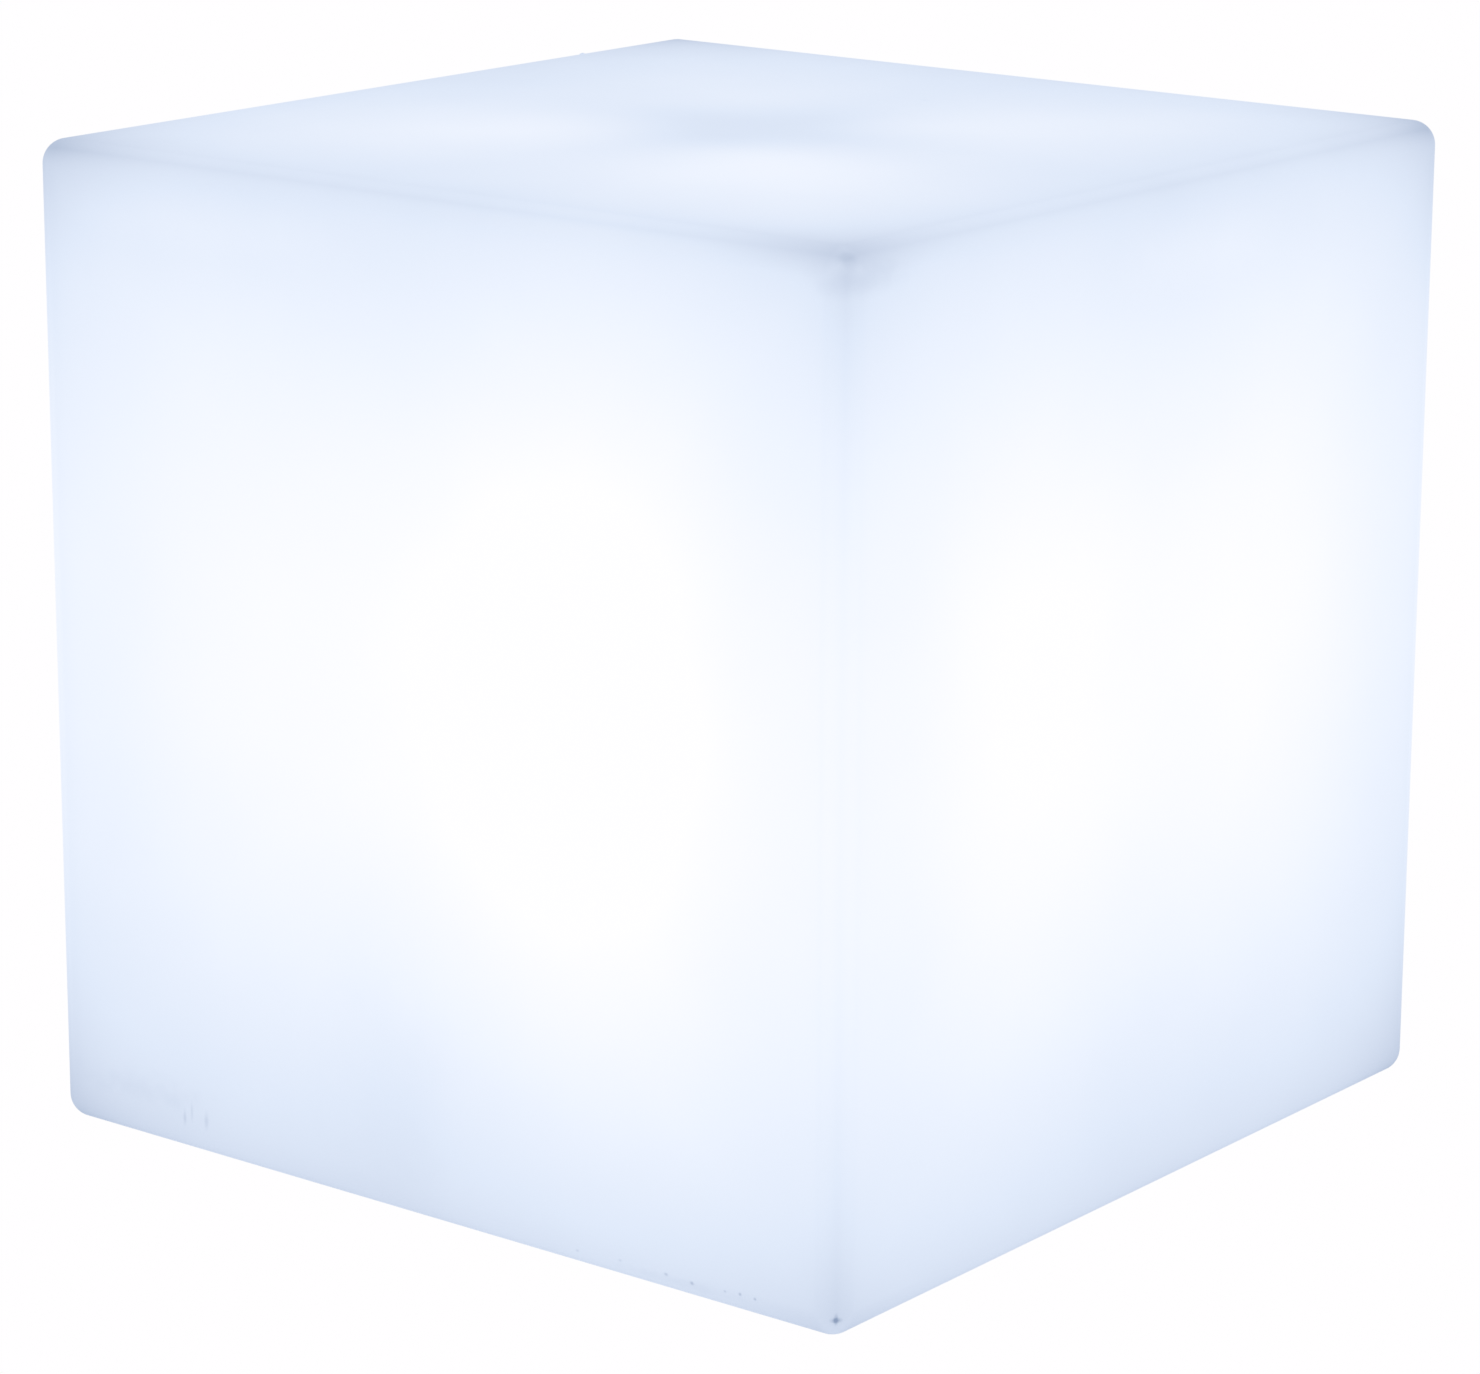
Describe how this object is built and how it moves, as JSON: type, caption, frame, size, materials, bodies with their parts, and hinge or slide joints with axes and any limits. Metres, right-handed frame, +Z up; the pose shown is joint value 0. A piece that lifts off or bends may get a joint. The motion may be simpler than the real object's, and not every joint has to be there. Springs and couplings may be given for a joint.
{
  "type": "led cube light",
  "caption": "Hollow moulded cube lamp lit from inside, with a twist-out battery lamp module, push button and charge port in a round recess under it.",
  "frame": {"origin": "on the ground under the middle of the cube", "axes": "+Z up, +X and +Y square to the cube's sides"},
  "size_m": [0.4, 0.4, 0.4055],
  "materials": {
    "moulded_polyethylene": "satin, lit from inside",
    "foot_rubber": "matte",
    "collar_abs": "fine grain",
    "cover_abs": "fine grain",
    "seal_silicone": "matte",
    "screw_steel": "bright zinc",
    "mast_aluminium": "anodised",
    "clear_polycarbonate": "clear",
    "button_silicone": "matte",
    "flap_rubber": "matte",
    "circuit_board": "solder resist",
    "lamp_board_white": "white solder resist",
    "lamp_chip": "phosphor",
    "component_black": "moulded",
    "cell_wrap": "shrink wrap",
    "contact_nickel": "nickel",
    "lead_red": "insulation",
    "lead_black": "insulation",
    "lead_white": "insulation",
    "backing_steel": "zinc plated",
    "thermal_pad": "matte"
  },
  "bodies": {
    "root": {"cube_shell": "moulded_polyethylene", "base_pan": "moulded_polyethylene", "rubber_feet": "foot_rubber", "mounting_collar": "collar_abs", "collar_gasket": "seal_silicone", "backing_ring": "backing_steel", "collar_screws": "screw_steel"},
    "light_module": {"base_cover": "cover_abs", "battery_cells": "cell_wrap", "battery_clamp": "component_black", "battery_contacts": "contact_nickel", "battery_cradle": "component_black", "battery_lead_black": "lead_black", "battery_lead_red": "lead_red", "board_components": "component_black", "board_connectors": "lead_white", "board_screws": "screw_steel", "breather_vent": "component_black", "button_seal": "seal_silicone", "charge_socket": "component_black", "clamp_screws": "screw_steel", "control_board": "circuit_board", "cover_gasket": "seal_silicone", "cover_screws": "screw_steel", "cradle_screws": "screw_steel", "flap_hinge_pin": "screw_steel", "head_board": "circuit_board", "lamp_board_1": "lamp_board_white", "lamp_board_2": "lamp_board_white", "lamp_board_3": "lamp_board_white", "lamp_board_4": "lamp_board_white", "lamp_board_screws": "screw_steel", "lamp_chips_1": "lamp_chip", "lamp_chips_2": "lamp_chip", "lamp_chips_3": "lamp_chip", "lamp_chips_4": "lamp_chip", "lamp_cover": "clear_polycarbonate", "lamp_gasket": "seal_silicone", "lamp_lead": "lead_white", "lamp_ring": "collar_abs", "lamp_ring_screws": "screw_steel", "mast_cap": "component_black", "mast_foot": "mast_aluminium", "mast_foot_screws": "screw_steel", "mast_post": "mast_aluminium", "module_o_ring": "seal_silicone", "module_tub": "collar_abs", "push_switch": "component_black", "remote_receiver": "component_black", "status_led": "lamp_chip", "status_light_pipe": "clear_polycarbonate", "thermal_pads": "thermal_pad"},
    "button": {"power_button": "button_silicone", "switch_plunger": "component_black"},
    "flap": {"port_cover": "flap_rubber"}
  },
  "joints": [
    {"name": "module_twist", "type": "hinge", "parent": "root", "child": "light_module", "pos_m": [0, 0, 0.045], "axis": [0, 0, 1], "range_deg": [-35, 0]},
    {"name": "button_press", "type": "slide", "parent": "light_module", "child": "button", "axis": [0, 0, 1], "range_m": [0, 0.0015], "stiffness_N_per_m": 1500, "springref_m": -0.0005},
    {"name": "flap_open", "type": "hinge", "parent": "light_module", "child": "flap", "pos_m": [0, 0.035, 0.0262], "axis": [-1, 0, 0], "range_deg": [0, 115]}
  ]
}
